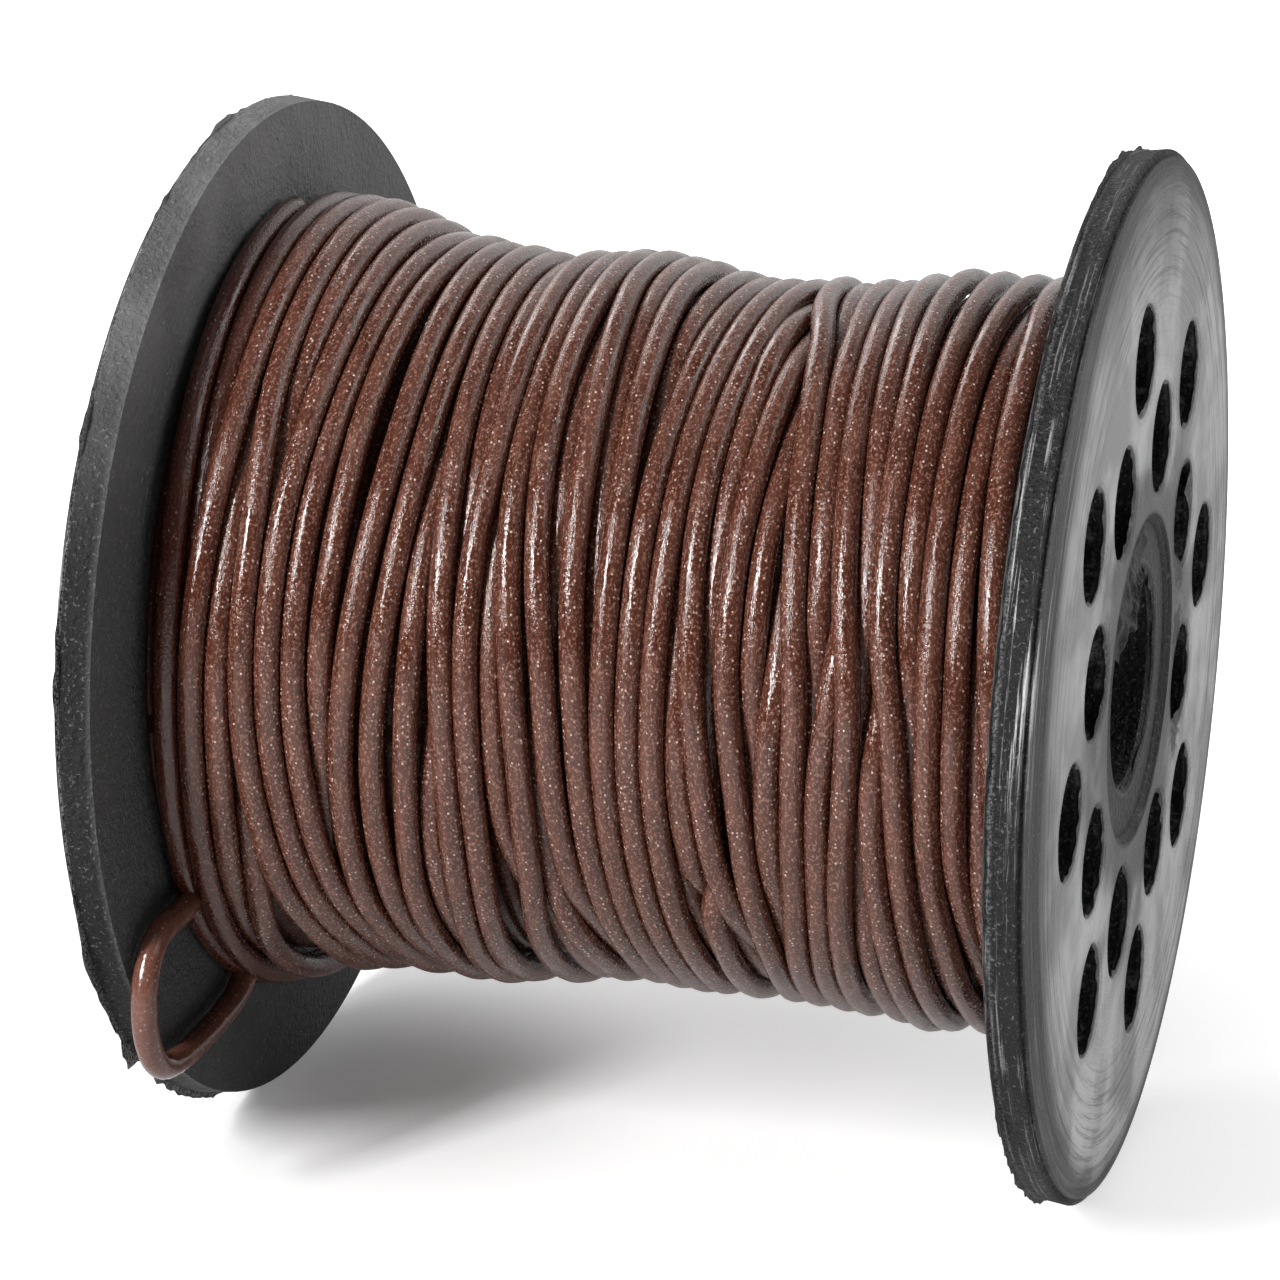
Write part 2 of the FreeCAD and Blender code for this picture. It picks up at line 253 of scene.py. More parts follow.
turned = np.arange(len(TURNS) * STEPS) * 360.0 / STEPS
angle = np.radians(90.0 - turned)
wanted_x = smooth_through(np.clip(turned, 0, knots[-1]), knots, places)
level = np.interp(turned, knots, heights) / 9
for _ in range(LEVEL_ROUNDS):
    level[1:-1] += 0.5 * ((level[:-2] + level[2:]) / 2 - level[1:-1])
behind = np.clip((turned % 360 - BACK_FROM) / BACK_SOFT, 0, 1)
behind = behind * np.clip((360 - turned % 360) / BACK_SOFT, 0, 1)
sway = np.interp(turned, np.arange(0, turned[-1] + 91, 90), chance.normal(0, 1, len(TURNS) * 4 + 1))
wanted_x = np.clip(wanted_x + SWAY * sway * behind, -OUTERMOST, OUTERMOST)
wanted_r = winding_radius(wanted_x, angle) - CORD_WIDTH / 2 - CORD_WIDTH * (1 - level)
print("cord in the turns:", round(float(np.sum(wanted_r) * 2 * math.pi / STEPS / 1000), 2), "m")

# %% [markdown]
# ## Settling the turns against each other
# Two cords can't be in one place. The turns could be dropped on by a physics simulation, but that is
# slow and loses the layout. Instead every pair of neighbours at the same angle that is nearer than a
# cord's width is pushed apart a little, then each turn is drawn back towards its own place, and the
# line is smoothed along its length. The cord's middle always stays between the two depths HIGHEST and
# LOWEST below the outside of the winding. After enough rounds the turns lie snugly on each other.

# %% Settle the turns
SQUEEZED = 0.985
ROUNDS = 260
NEIGHBOURS = 5
PULL_ALONG, PULL_DOWN = 0.10, 0.06
HIGHEST, LOWEST = 0.9, 4.2
x = wanted_x.reshape(len(TURNS), STEPS).copy()
r = wanted_r.reshape(len(TURNS), STEPS).copy()
angle_grid = angle.reshape(len(TURNS), STEPS)


def smoothed(grid, amount):
    """The line run through once with a light smoothing along its length."""
    line = grid.ravel()
    line = np.concatenate([line[:1], line, line[-1:]])
    return (line[1:-1] + amount * ((line[:-2] + line[2:]) / 2 - line[1:-1])).reshape(grid.shape)


for _ in range(ROUNDS):
    x += PULL_ALONG * (wanted_x.reshape(x.shape) - x)
    r += PULL_DOWN * (wanted_r.reshape(r.shape) - r)
    for apart in range(1, NEIGHBOURS + 1):
        dx, dr = x[apart:] - x[:-apart], r[apart:] - r[:-apart]
        distance = np.hypot(dx, dr) + 1e-6
        push = np.clip(CORD_WIDTH * SQUEEZED - distance, 0, None) * 0.5
        x[apart:] += 0.5 * push * dx / distance
        x[:-apart] -= 0.5 * push * dx / distance
        r[apart:] += push * dr / distance
        r[:-apart] -= push * dr / distance
    x = np.clip(smoothed(smoothed(x, 0.5), 0.5), -OUTERMOST, OUTERMOST)
    r = np.minimum(smoothed(smoothed(smoothed(r, 0.5), 0.5), 0.5), winding_radius(x, angle_grid) - HIGHEST)
    r = np.maximum(r, winding_radius(x, angle_grid) - LOWEST)
print("largest sideways move:", round(float(np.abs(x - wanted_x.reshape(x.shape)).max()), 2), "mm")

# %% [markdown]
# ## The skin of the wound cord
# The line becomes a tube with a ring of points at each step. A curve with a bevel would do it too, but
# its mesh carries no record of which way the cord runs. Here each point also stores where it is on the
# cord: round it, and how far along it. The wax finish uses that to lay its grain lengthwise. The tube
# is a twentieth thinner than the cord, so that turns that cross don't cut into each other, and at the
# last turn the end of the cord dips into the layers below.

# %% Tube along the line
SIDES = 14
SHOWN_RADIUS, UNEVENNESS = 0.95, 0.012
TWIST = 0.03
END_DIP, END_STRETCH = 2.4, 60


def mesh_of(name, points, faces):
    """A mesh from points in millimetres and the faces between them."""
    mesh = bpy.data.meshes.new(name)
    mesh.from_pydata((np.array(points) * MM).tolist(), [], faces)
    mesh.update()
    return mesh


def lay_on(mesh, lay):
    """Smooths a mesh and stores each point's place on the cord with it, for the wax finish to read."""
    lay = lay.astype(np.float32).ravel()
    mesh.attributes.new("lay", "FLOAT_VECTOR", "POINT").data.foreach_set("vector", lay)
    mesh.polygons.foreach_set("use_smooth", [True] * len(mesh.polygons))
    mesh.update()
    return mesh


def tube_mesh(name, centre, outward, radius, twist):
    """A closed tube round a line, with SIDES points a ring and its place on the cord stored as lay."""
    along = np.gradient(centre, axis=0)
    length = np.concatenate([[0], np.cumsum(np.linalg.norm(np.diff(centre, axis=0), axis=1))])
    along /= np.linalg.norm(along, axis=1)[:, None]
    up = outward - along * np.sum(outward * along, axis=1)[:, None]
    up /= np.linalg.norm(up, axis=1)[:, None]
    side = np.cross(along, up)
    turn = np.linspace(0, 2 * math.pi, SIDES, endpoint=False)
    ring = centre[:, None] + radius[:, None, None] * (
        np.cos(turn)[None, :, None] * up[:, None] + np.sin(turn)[None, :, None] * side[:, None]
    )
    rings = len(centre)
    a = np.arange(rings - 1)[:, None] * SIDES + np.arange(SIDES)[None, :]
    b = np.arange(rings - 1)[:, None] * SIDES + (np.arange(SIDES)[None, :] + 1) % SIDES
    faces = np.stack([a, b, b + SIDES, a + SIDES], -1).reshape(-1, 4).tolist()
    faces += [list(range(SIDES))[::-1], list(range((rings - 1) * SIDES, rings * SIDES))]
    spun = turn[None, :] + twist * length[:, None]
    lay = np.stack([np.cos(spun), np.sin(spun), np.repeat(length[:, None], SIDES, 1)], -1)
    return lay_on(mesh_of(name, ring.reshape(-1, 3), faces), lay)


def place(mesh, slot, *nodes):
    """An object of this mesh that rides on the reel and stands for the named CAD nodes."""
    made = bpy.data.objects.new(mesh.name, mesh)
    bpy.context.scene.collection.objects.link(made)
    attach(made, "root")
    if nodes:
        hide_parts(*nodes)
    return made


line_x, line_r = x.ravel(), r.ravel()
to_end = np.clip(turned[::-1] / END_STRETCH, 0, 1)
line_r = line_r - END_DIP * (1 - to_end * to_end * (3 - 2 * to_end))
outward = np.stack([np.zeros_like(angle), -np.cos(angle), np.sin(angle)], -1)
centre = outward * line_r[:, None] + np.stack([line_x, 0 * line_x, 0 * line_x], -1)
uneven = np.interp(
    turned, np.arange(0, turned[-1] + 31, 30), chance.normal(0, 1, int(turned[-1] / 30) + 2)
)
shown_radius = SHOWN_RADIUS + UNEVENNESS * uneven
wound_cord = place(
    tube_mesh("wound_cord", centre, outward, shown_radius, TWIST), "cord", "outer_turns"
)
print("wound cord:", len(wound_cord.data.polygons), "faces")

# %% [markdown]
# ## The layers below
# Between the turns the eye falls on the layer under them. It is cord too, but only slits of it show,
# and a second set of tubes would cost as many faces again. So it is one turned surface whose outline
# is a row of half rounds, a cord's width apart, that runs round as a helix. It follows the winding's
# own radius, a cord and a half deeper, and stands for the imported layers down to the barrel.

# %% Packed layers
LAYERS_END = 32.8
LAYERS_BELOW, CREST = 3.3, 0.9
BARREL_RADIUS = 21.0
MEAN_RADIUS = 28.0


def packed_layers():
    """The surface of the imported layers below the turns, with its two end faces."""
    xs = np.linspace(-LAYERS_END, LAYERS_END, 33 * 10 + 1)
    spin = np.linspace(0, 2 * math.pi, 120, endpoint=False)
    grid_x, grid_a = np.meshgrid(xs, spin, indexing="ij")
    across = ((grid_x / CORD_WIDTH - grid_a / (2 * math.pi)) % 1.0) * 2 - 1
    round_top = np.sqrt(np.clip(1 - across**2, 0.02, 1))
    height = winding_radius(grid_x, grid_a) - LAYERS_BELOW + CREST * round_top
    rows = np.stack([grid_x, -height * np.cos(grid_a), height * np.sin(grid_a)], -1)
    points = rows.reshape(-1, 3)
    ends = np.stack([
        np.repeat([-LAYERS_END, LAYERS_END], len(spin)),
        -BARREL_RADIUS * np.cos(np.tile(spin, 2)),
        BARREL_RADIUS * np.sin(np.tile(spin, 2)),
    ], -1)
    n = len(spin)
    faces = []
    for i in range(len(xs) - 1):
        for j in range(n):
            k = (j + 1) % n
            faces.append((i * n + j, i * n + k, (i + 1) * n + k, (i + 1) * n + j))
    last = (len(xs) - 1) * n
    foot = len(points)
    for j in range(n):
        k = (j + 1) % n
        faces.append((j, foot + j, foot + k, k))
        faces.append((last + j, last + k, foot + n + k, foot + n + j))
    lay = np.stack([across, 0.5 + 0 * height, grid_a * MEAN_RADIUS], -1).reshape(-1, 3)
    mesh = mesh_of("packed_layers", np.concatenate([points, ends]), faces)
    return lay_on(mesh, np.concatenate([lay, ends]))


layers_below = place(packed_layers(), "cord", "winding_core")
print("packed layers:", len(layers_below.data.polygons), "faces")

# %% [markdown]
# ## Flash on the rims
# Where the two halves of the mould met, a thin torn skin of plastic stands out round each rim. It is
# too ragged for CAD, and a bump can't change an outline, so it is a fin of its own: a ring of little
# wedges whose height follows noise. It stands tall where the rim is torn and nearly vanishes
# elsewhere. The right flange carries it on its inner edge, the left one by its outer face, with one
# nib below.

# %% Fins of flash
def ragged(count, size, seed):
    """A closed row of count random numbers from 0 to 1 whose bumps are about size samples long."""
    own = np.random.default_rng(seed)
    spread = np.exp(-0.5 * (np.fft.fftfreq(count) * size * 2.5) ** 2)
    row = np.real(np.fft.ifft(np.fft.fft(own.normal(0, 1, count)) * spread))
    return np.clip(0.5 + row / (4 * row.std()), 0, 1)


def rim_fin(name, x, foot, width, height):
    """A fin round the rim at x mm, on a foot radius. Its heights count from the front upwards."""
    count = len(height)
    spin = np.linspace(0, 2 * math.pi, count, endpoint=False)
    lean = (ragged(count, 9, 5) - 0.5) * 0.15
    flat = np.zeros(count)
    rows = []
    for at_x, radius in (
        (x - width / 2 + flat, foot + flat), (x + lean, foot + height), (x + width / 2 + flat, foot + flat),
    ):
        rows.append(np.stack([at_x, -radius * np.cos(spin), radius * np.sin(spin)], -1))
    points = np.stack(rows, 1).reshape(-1, 3)
    faces = []
    for i in range(count):
        j = (i + 1) % count
        for k in range(3):
            m = (k + 1) % 3
            faces.append((3 * i + k, 3 * i + m, 3 * j + m, 3 * j + k))
    return mesh_of(name, points, faces)


def stretch_of(angles, start, end, soft=6.0):
    """1 between two angles in degrees, running softly to 0 outside them."""
    middle, half = (start + end) / 2, (end - start) / 2
    off = np.abs((angles - middle + 180) % 360 - 180)
    return np.clip((half + soft - off) / soft, 0, 1)


ROUND = 2160
degrees_round = np.arange(ROUND) * 360.0 / ROUND
teeth = ragged(ROUND, 7, 11) ** 2
lumps = ragged(ROUND, 26, 12)
right_height = (
    0.20 + 0.18 * teeth + 0.25 * lumps
    + 0.22 * stretch_of(degrees_round, -75, -15) * (0.3 + 0.7 * teeth)
    + 0.22 * stretch_of(degrees_round, 55, 92) * (0.4 + 0.6 * teeth)
)
right_fin = place(
    rim_fin("right_rim_flash", x=32.95, foot=39.6, width=0.32, height=right_height), "spool_plastic"
)
torn = stretch_of(degrees_round, -62, -16)
nib = 0.9 * stretch_of(degrees_round, -44, -41.5, 1.5)
wavy = 2.2 * stretch_of(degrees_round, -75, 75, 20.0) * ragged(ROUND, 34, 16) ** 2
left_height = (
    0.12 + 0.20 * ragged(ROUND, 8, 14) ** 2 + 0.45 * wavy
    + 0.4 * torn * ragged(ROUND, 14, 15) + nib
)
left_fin = place(
    rim_fin("left_rim_flash", x=-35.25, foot=39.75, width=0.34, height=left_height), "spool_plastic"
)
print("flash stands up to", [round(float(rise.max()), 2) for rise in (right_height, left_height)], "mm")

# %% [markdown]
# ## Torn lips of the pockets and the bore
# Each pocket in a flange face and the bore have a lip of thin torn plastic, which stands a little over
# the hole and makes its outline uneven. The holes could be cut again with an uneven tool, but that
# would change the solid. A lip is a closed ring laid round the hole, and its inner edge follows noise.
# The pockets are placed by the same two rings and angles as in the CAD model. At a few inner pockets a
# large flap has been left hanging.

# %% Torn lips
FACE_X, HUB_X = 36.0, 35.4
POCKET_RINGS = ((25.6, 5.5), (18.5, 28.0))
POCKETS_IN_RING = 8
POCKET_RADIUS, BORE_EDGE = 4.4, 8.75
OUTER_FLAP = 0.3


def torn_lip(points, faces, side, face_x, middle, hole, reach, droop):
    """Adds a ragged lip round a hole to a list of points and faces.

    Its section has four corners: the outer edge just under the face, the crown, the torn edge that
    reaches into the hole by reach mm and droops, and the foot inside the hole.
    """
    count, first = len(reach), len(points)
    spin = np.linspace(0, 2 * math.pi, count, endpoint=False)
    for radius, x in (
        (hole + 0.55, face_x - 0.05 + 0 * reach), (hole + 0.2, face_x + 0.07 + 0 * reach),
        (hole - reach, face_x - 0.1 - droop * reach), (hole + 0.15, face_x - 0.6 + 0 * reach),
    ):
        row = np.stack([side * x, middle[0] + radius * np.cos(spin), middle[1] + radius * np.sin(spin)], -1)
        points.extend(row.tolist())
    for k in range(4):
        for i in range(count):
            j, m = (i + 1) % count, (k + 1) % 4
            here, beyond = first + k * count, first + m * count
            quad = [here + i, here + j, beyond + j, beyond + i]
            faces.append(quad[::-1] if side > 0 else quad)


def face_lips(name, side, seed, hanging, bore_flap):
    """The lips on a flange face. A flap hangs at each inner pocket, and another one at the bore."""
    points, faces = [], []
    for ring, (ring_radius, turn) in enumerate(POCKET_RINGS):
        for number in range(POCKETS_IN_RING):
            a = math.radians(turn + 360.0 / POCKETS_IN_RING * number)
            rough = ragged(96, 3, seed + 10 * ring + number) ** 2
            lump = ragged(96, 14, seed + 50 + 10 * ring + number) ** 2
            reach = 0.10 + 0.35 * rough + (hanging[number] if ring else OUTER_FLAP) * lump
            middle = (ring_radius * side * math.cos(a), ring_radius * math.sin(a))
            torn_lip(points, faces, side, FACE_X, middle, POCKET_RADIUS, reach, droop=0.35)
    spin = np.arange(180) * 2.0
    plate = bore_flap * stretch_of(spin, 110, 150, 9.0) * (0.5 + 0.5 * ragged(180, 5, seed + 92))
    reach = 0.12 + 0.5 * ragged(180, 4, seed + 90) ** 2 + plate
    torn_lip(points, faces, side, HUB_X, (0.0, 0.0), BORE_EDGE, reach, droop=0.15)
    return place(mesh_of(name, points, faces), "spool_plastic")


right_lips = face_lips(
    "right_face_lips", 1, seed=200, hanging=(2.4, 0.3, 0.2, 0.4, 0.2, 0.3, 0.4, 2.0), bore_flap=3.0
)
left_lips = face_lips(
    "left_face_lips", -1, seed=400, hanging=(0.4, 0.3, 0.9, 0.4, 0.3, 0.7, 0.4, 0.3), bore_flap=0.9
)
print("lips:", len(right_lips.data.polygons) + len(left_lips.data.polygons), "faces")

# %% [markdown]
# ## Torn flakes on the hub
# The ends of the hub tube carry a patch of torn lumps at the upper front. The right one juts out over
# the bore as a thin chip. Noise in two directions, round the hub and out from it, makes the lumps, and
# the patch fades to nothing at its border, so that it seems to grow out of the moulding. A displaced
# face would need far more points on the whole flange for the same patch.

# %% Hub flakes
HUB_EDGE, HUB_RING = 8.6, 12.6
HUB_SKIN_X = 35.3


def hub_flakes(name, side, start, end, tall, inner, body):
    """Torn lumps on the end of the hub, between two angles in degrees and from inner mm outwards.

    They stand about tall mm high, and body, as a share of that, lifts even the lowest of them.
    """
    rows, columns = 22, 120
    own = np.random.default_rng(31 + side)
    wave_r = np.fft.fftfreq(rows)[:, None] * 6
    wave_a = np.fft.fftfreq(columns)[None, :] * 16
    spread = np.exp(-0.5 * (wave_r**2 + wave_a**2) * 4)
    field = np.real(np.fft.ifft2(np.fft.fft2(own.normal(0, 1, (rows, columns))) * spread))
    field = np.clip(0.45 + field / (2.6 * field.std()), 0, 1.3)
    brim = inner + (HUB_EDGE - inner) * (0.2 + ragged(columns, 7, 61 + side)) * 0.8
    radius = brim[None, :] + (HUB_RING - brim[None, :]) * np.linspace(0, 1, rows)[:, None]
    spin = np.radians(np.linspace(start, end, columns))[None, :] + 0 * field
    fade = np.sin(np.linspace(0, math.pi, columns))[None, :] ** 0.5
    fade = fade * np.clip((radius - brim + 0.2) / 0.5, 0, 1) * np.clip((HUB_RING - radius) / 0.9, 0, 1)
    x = side * (HUB_SKIN_X + tall * (body + field) * fade)
    points = np.stack([x, radius * np.cos(spin) * side, radius * np.sin(spin)], -1).reshape(-1, 3)
    faces = []
    for i in range(rows - 1):
        for j in range(columns - 1):
            here, above = i * columns + j, (i + 1) * columns + j
            faces.append([above, above + 1, here + 1, here])
    return place(mesh_of(name, points, faces), "spool_plastic")


flakes = [
    hub_flakes("right_hub_flakes", 1, start=78, end=152, tall=0.7, inner=5.2, body=0.5),
    hub_flakes("left_hub_flakes", -1, start=20, end=75, tall=0.4, inner=8.3, body=0.0),
]
print("flakes:", sum(len(flake.data.polygons) for flake in flakes), "faces")

# %% [markdown]
# ## Writing materials as sums
# Node trees are long to write one link at a time. A small class wraps a node's output, and its
# operators add Math nodes, so a mask can be written as 1 - mask * 0.5. A second class holds the
# material and has one method that adds any node from its type, its settings and its inputs. The other
# methods only name the nodes that come up again and again.

# %% Signal and Finish
class Signal:
    """One output in a node tree, which can be used in sums."""

    def __init__(self, finish, socket):
        self.finish, self.socket = finish, socket

    def _sum(self, operation, first, second):
        return self.finish.node("ShaderNodeMath", {"operation": operation}, {0: first, 1: second})

    def __add__(self, other):
        return self._sum("ADD", self, other)

    def __sub__(self, other):
        return self._sum("SUBTRACT", self, other)

    def __rsub__(self, other):
        return self._sum("SUBTRACT", other, self)

    def __mul__(self, other):
        return self._sum("MULTIPLY", self, other)

    def __pow__(self, other):
        return self._sum("POWER", self, other)

    def __rpow__(self, other):
        return self._sum("POWER", other, self)

    def __abs__(self):
        return self._sum("ABSOLUTE", self, 0.0)

    __radd__ = __add__
    __rmul__ = __mul__


class Finish:
    """A node tree that is being built, of a material or of the world."""

    def __init__(self, owner):
        owner.use_nodes = True
        self.owner, self.tree = owner, owner.node_tree
        self.tree.nodes.clear()

    def node(self, kind, settings, inputs, output=0):
        """Adds a node: settings first, then the values or links of its inputs. Gives one of its outputs."""
        made = self.tree.nodes.new(kind)
        for name, value in settings.items():
            setattr(made, name, value)
        for key, value in inputs.items():
            if isinstance(value, Signal):
                self.tree.links.new(value.socket, made.inputs[key])
            else:
                made.inputs[key].default_value = value
        return Signal(self, made.outputs[output]) if made.outputs else None

    def in_mm(self):
        """The piece's own coordinates, in millimetres."""
        return self.stretched(self.node("ShaderNodeTexCoord", {}, {}, "Object"), (1000.0, 1000.0, 1000.0))

    def noise(self, at, scale, detail, roughness):
        """Soft noise from 0 to 1."""
        return self.node(
            "ShaderNodeTexNoise", {},
            {"Vector": at, "Scale": scale, "Detail": detail, "Roughness": roughness},
        )

    def ease(self, value, low, high, to_low=0.0, to_high=1.0):
        """Runs softly from to_low to to_high while the value goes from low to high."""
        return self.node(
            "ShaderNodeMapRange", {"interpolation_type": "SMOOTHSTEP"},
            {"Value": value, "From Min": low, "From Max": high, "To Min": to_low, "To Max": to_high},
        )

    def tint(self, share, first, second):
        """A colour between two others: the share of the second."""
        return self.node("ShaderNodeMix", {"data_type": "RGBA"}, {0: share, 6: first, 7: second}, 2)

    def stretched(self, at, factors):
        """Coordinates scaled along each axis."""
        return self.node("ShaderNodeVectorMath", {"operation": "MULTIPLY"}, {0: at, 1: factors})

    def part(self, at, axis):
        """One of the three numbers of a vector."""
        return self.node("ShaderNodeSeparateXYZ", {}, {0: at}, axis)

    def bump(self, height, depth):
        """A bump whose height is in units of depth metres."""
        return self.node("ShaderNodeBump", {}, {"Height": height, "Distance": depth, "Strength": 1.0})

    def surface(self, shader):
        """Ends a material's tree with this shader, and gives the material."""
        self.node("ShaderNodeOutputMaterial", {}, {"Surface": shader})
        return self.owner


print("node helpers ready")

# %% [markdown]
# ## The wax finish of the cord
# The cord is reddish brown, round and shiny. Its highlights aren't clean lines: a fine grain breaks
# them into bright dashes, and small grains of wax catch the light all over it. A picture laid on
# metres of cord would stretch or repeat, so all of it is worked out from noise. The bump mixes two
# noises, streaks that run long along the cord and a fine grain, and the wax grains are the cells of a
# Voronoi texture, kept only where a cell's own random number is high. Three cords are made of it: the
# turns, which carry a painted shadow of the left flange beside it, the loop, whose wax is smoother and
# carries painted light as a paler tone, and the packed layers, which carry painted shade because
# little light gets down to them.

# %% Colours of the wax
WAX_DARK, WAX_RED = (0.068, 0.019, 0.010, 1), (0.104, 0.034, 0.020, 1)
STREAK_BROWN = (0.040, 0.010, 0.005, 1)
WAX_DUST = (0.42, 0.21, 0.155, 1)
WAX_GRAIN = (0.74, 0.55, 0.47, 1)
PAINTED_LOOP_LIGHT = (0.26, 0.115, 0.088, 1)
FLANGE_SHADE = (0.045, 0.008, 0.003, 1)
DEEP_SHADE = (0.012, 0.004, 0.002, 1)
WAX_IOR = 1.56
print("wax from", WAX_DARK[:3], "to", WAX_RED[:3])

# %% Cord material
def wax_finish(name, along_cord, depth=0.0, grain=1.0, pale=0.0):
    """Waxed cord. depth is how much shade is painted on it, grain how rough it is, pale how much light is
    painted on it.
    """
    wax = Finish(bpy.data.materials.new(name))
    if along_cord:
        lay = wax.node("ShaderNodeAttribute", {"attribute_name": "lay"}, {}, "Vector")
        grain_at = wax.stretched(lay, (1.0, 1.0, 0.14))
    else:
        lay = grain_at = wax.in_mm()
    streaks = wax.noise(grain_at, 2.6, 3.0, 0.6)
    fine = wax.noise(wax.stretched(lay, (1.0, 1.0, 0.85)), 4.4, 2.0, 0.75)
    blotch = wax.noise(wax.stretched(lay, (0.5, 0.5, 0.2)), 1.4, 2.0, 0.5)
    cell = {"Vector": lay, "Scale": 2.4, "Randomness": 1.0}
    away = wax.node("ShaderNodeTexVoronoi", {}, cell, "Distance")
    own = wax.part(wax.node("ShaderNodeTexVoronoi", {}, cell, "Color"), 0)
    grains = wax.ease(away, 0.30, 0.10) * wax.ease(own, 0.35, 0.95) * grain
    dust = wax.ease(fine, 0.50, 0.66)
    shade = wax.tint(wax.ease(blotch, 0.3, 0.7), WAX_DARK, WAX_RED)
    shade = wax.tint(wax.ease(streaks, 0.48, 0.70) * 0.75, shade, STREAK_BROWN)
    shade = wax.tint(dust * 0.5 * grain, shade, WAX_DUST)
    shade = wax.tint(grains, shade, WAX_GRAIN)
    if pale:
        # Painted light on the loop: a paler tone of the same wax.
        shade = wax.tint(pale, shade, PAINTED_LOOP_LIGHT)
    if along_cord:
        # Painted shadow of the left flange over the turns beside it.
        painted_flange_shadow = wax.ease(wax.part(wax.in_mm(), 0), -26.5, -30.5)
        shade = wax.tint(painted_flange_shadow * 0.72, shade, FLANGE_SHADE)
    if depth:
        shade = wax.tint(depth, shade, DEEP_SHADE)
    height = (fine * 0.8 - streaks * 0.8) * wax.ease(blotch, 0.36, 0.56, 0.35, 1.0) + grains * 0.6
    shader = wax.node("ShaderNodeBsdfPrincipled", {}, {
        "Base Color": shade,
        "Roughness": wax.ease(blotch, 0.35, 0.65, 0.08, 0.19) * (1.0 - grains * 0.4),
        "Normal": wax.bump(height, 0.0001 * grain),
        "IOR": WAX_IOR,
        "Specular IOR Level": 0.12 if depth else 0.5,
    })
    return wax.surface(shader)


wax_on_turns = wax_finish("wax_along_cord", True)
wax_on_loop = wax_finish("wax_on_loop", False, grain=0.45, pale=0.25)
wax_below = wax_finish("wax_below", True, depth=0.62)
wound_cord.data.materials.append(wax_on_turns)
layers_below.data.materials.append(wax_below)
loose_loop.data.materials.append(wax_on_loop)
print("cord finishes:", [finish.name for finish in (wax_on_turns, wax_on_loop, wax_below)])

# %% [markdown]
# ## The plastic of the reel
# The reel is moulded in recycled black plastic. It is nearly black and dull, with a fine pebbled skin
# and pale grit in it. Light dust, with a painted sheen in it, lies on the outer faces, in arcs round
# the spindle where they have rubbed, and thins out towards the rim, the hub and the top. Painted shade
# keeps the pockets, the bore and the groove round the hub dark. The right rim is rubbed pale in
# streaks, with a painted highlight most of all above its middle, and a painted highlight runs along
# both partings of the mould. The inner sides of the flanges and the upper part of the left one carry
# painted light.
#
# Scratches could be painted on a flat map of the flange, but the same noise, bent into circles, serves
# faces, rims and films alike. Circles need the distance from the spindle, so the coordinates are split
# and put through a square root before they reach the noise. Each mask then says where on the reel
# something is, in millimetres: for px, py and pz along the axes, for radius out from the spindle.

# %% Colours of the plastic
MOULD_BLACK, PAINTED_INNER_LIGHT = (0.009, 0.0095, 0.0095, 1), (0.056, 0.058, 0.058, 1)
TOP_LIGHT_GREY = (0.21, 0.21, 0.208, 1)
DUST_AND_SHEEN_GREY = (0.53, 0.53, 0.533, 1)
RUBBED_AND_HIGHLIGHT_GREY = (0.55, 0.55, 0.55, 1)
PIT_SHADE = (0.007, 0.0072, 0.0072, 1)
SETTLED_DUST_AND_HIGHLIGHT_GREY = (0.32, 0.32, 0.32, 1)
GRIT_GREY = (0.34, 0.34, 0.34, 1)
PLASTIC_IOR = 1.36
DARK_BLOTS = ((15.4, 4.8, 2.8), (15.2, -0.8, 2.6), (16.0, -9.8, 2.2))
print("plastic from", MOULD_BLACK[:3], "to", PAINTED_INNER_LIGHT[:3])

